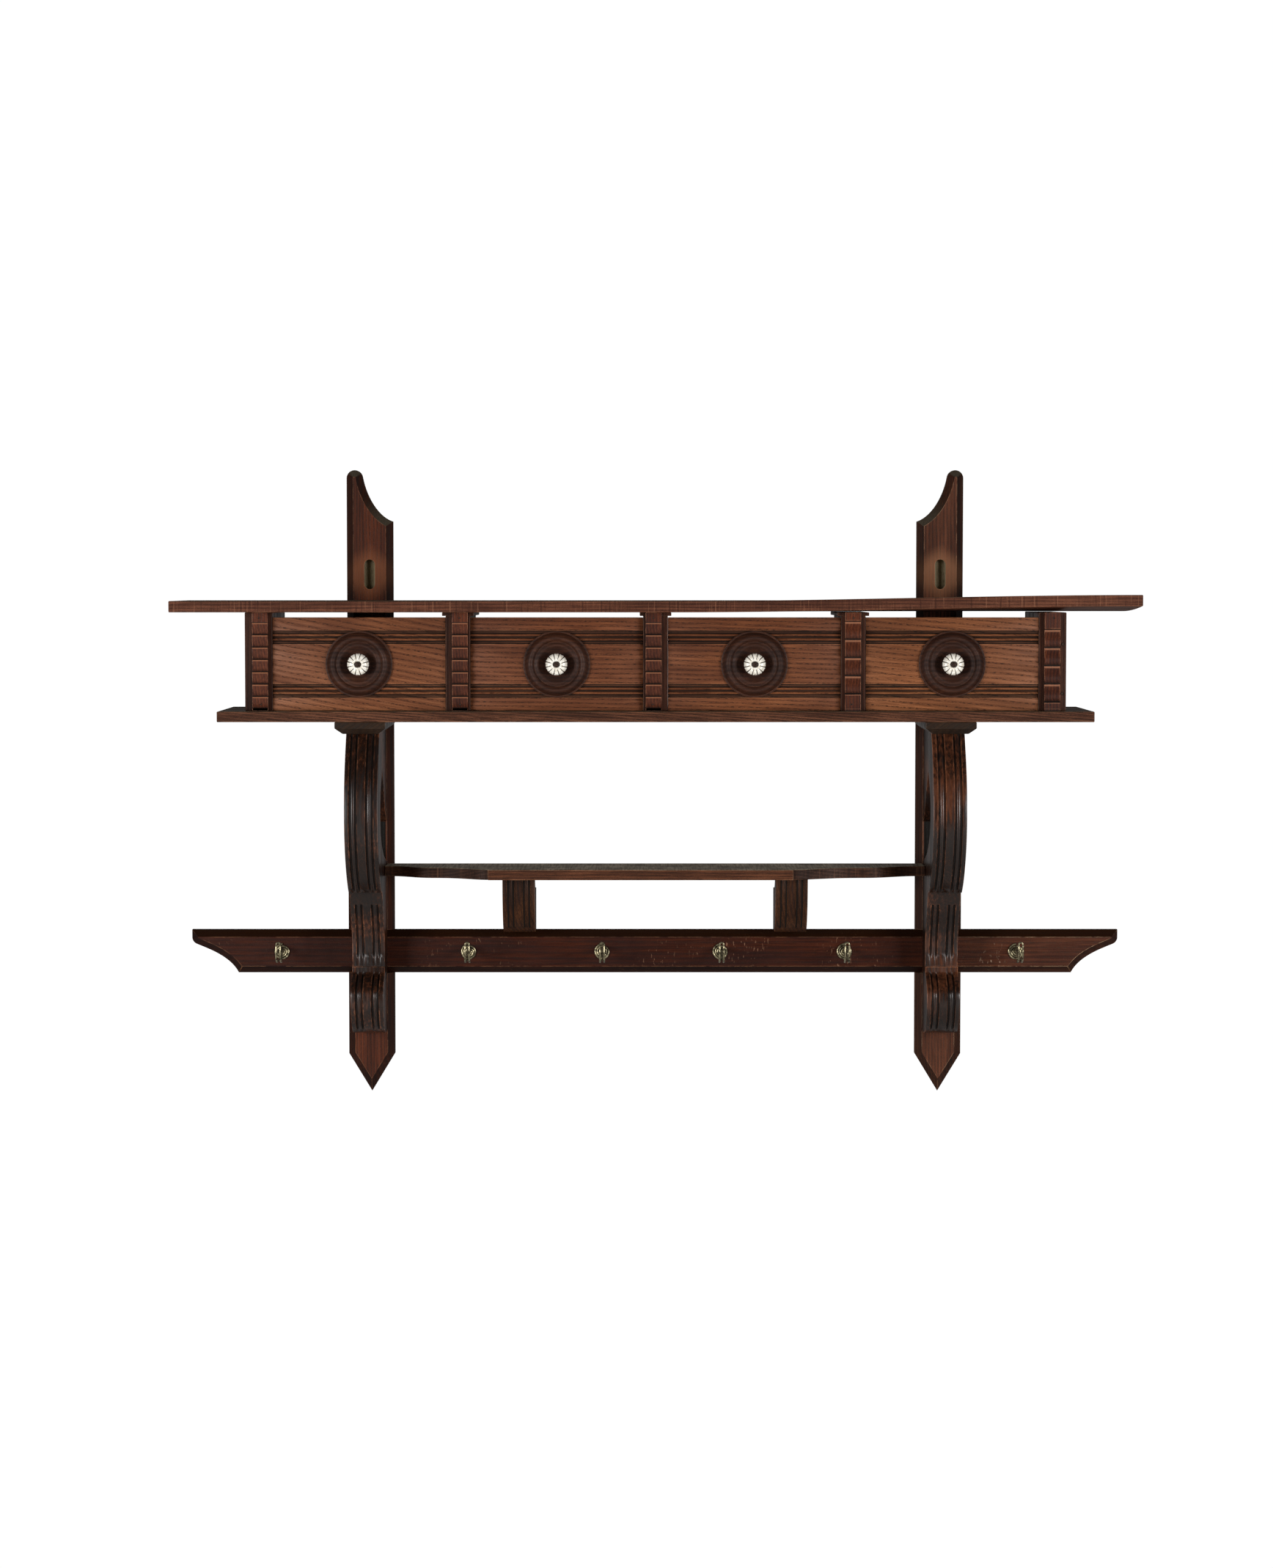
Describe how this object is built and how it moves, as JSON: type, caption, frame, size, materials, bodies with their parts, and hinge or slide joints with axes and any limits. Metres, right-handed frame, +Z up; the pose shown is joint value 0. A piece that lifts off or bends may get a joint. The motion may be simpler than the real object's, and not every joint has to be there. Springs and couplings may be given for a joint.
{
  "type": "wall shelf with drawers and coat rail",
  "caption": "Wall-hung wooden shelf over a row of small drawers, carried on scroll brackets, with a short middle shelf and a coat rail of wire hooks.",
  "frame": {"origin": "middle of the coat rail's back face, on the wall", "axes": "+X to the right along the rail, +Y into the wall so that the front faces -Y, +Z up"},
  "size_m": [1.1, 0.192, 0.7358],
  "materials": {
    "frame": "dark stained softwood, thin worn varnish",
    "shelf": "stained softwood, dull, worn at the edges",
    "rail": "dark red-brown stain, satin",
    "bracket": "very dark stain, satin",
    "drawer_front": "mid-brown stained softwood, satin",
    "drawer_box": "bare aged softwood, matt",
    "rosette": "turned wood, dark stain, satin",
    "knob": "white glazed ceramic, glossy",
    "screw": "dark iron, dull",
    "hook": "bent wire, dull greenish brass"
  },
  "bodies": {
    "root": {"top_shelf": "shelf", "bottom_board": "shelf", "middle_shelf": "shelf", "coat_rail": "rail", "end_panel_left": "frame", "end_panel_right": "frame", "upright_left": "frame", "upright_right": "frame", "bracket_left": "bracket", "capital_left": "bracket", "corbel_left": "bracket", "bracket_right": "bracket", "capital_right": "bracket", "corbel_right": "bracket", "divider_1": "frame", "divider_2": "frame", "divider_3": "frame", "carved_strip_1": "frame", "carved_strip_2": "frame", "carved_strip_3": "frame", "carved_strip_4": "frame", "carved_strip_5": "frame", "hook_1": "hook", "hook_2": "hook", "hook_3": "hook", "hook_4": "hook", "hook_5": "hook", "hook_6": "hook"},
    "drawer_1": {"drawer_1_front": "drawer_front", "drawer_1_side_left": "drawer_box", "drawer_1_side_right": "drawer_box", "drawer_1_back": "drawer_box", "drawer_1_bottom": "drawer_box", "drawer_1_rosette": "rosette", "drawer_1_knob": "knob", "drawer_1_knob_screw": "screw"},
    "drawer_2": {"drawer_2_front": "drawer_front", "drawer_2_side_left": "drawer_box", "drawer_2_side_right": "drawer_box", "drawer_2_back": "drawer_box", "drawer_2_bottom": "drawer_box", "drawer_2_rosette": "rosette", "drawer_2_knob": "knob", "drawer_2_knob_screw": "screw"},
    "drawer_3": {"drawer_3_front": "drawer_front", "drawer_3_side_left": "drawer_box", "drawer_3_side_right": "drawer_box", "drawer_3_back": "drawer_box", "drawer_3_bottom": "drawer_box", "drawer_3_rosette": "rosette", "drawer_3_knob": "knob", "drawer_3_knob_screw": "screw"},
    "drawer_4": {"drawer_4_front": "drawer_front", "drawer_4_side_left": "drawer_box", "drawer_4_side_right": "drawer_box", "drawer_4_back": "drawer_box", "drawer_4_bottom": "drawer_box", "drawer_4_rosette": "rosette", "drawer_4_knob": "knob", "drawer_4_knob_screw": "screw"}
  },
  "joints": [
    {"name": "drawer_1_slide", "type": "slide", "parent": "root", "child": "drawer_1", "axis": [0, -1, 0], "range_m": [0, 0.12]},
    {"name": "drawer_2_slide", "type": "slide", "parent": "root", "child": "drawer_2", "axis": [0, -1, 0], "range_m": [0, 0.12]},
    {"name": "drawer_3_slide", "type": "slide", "parent": "root", "child": "drawer_3", "axis": [0, -1, 0], "range_m": [0, 0.12]},
    {"name": "drawer_4_slide", "type": "slide", "parent": "root", "child": "drawer_4", "axis": [0, -1, 0], "range_m": [0, 0.12]}
  ]
}
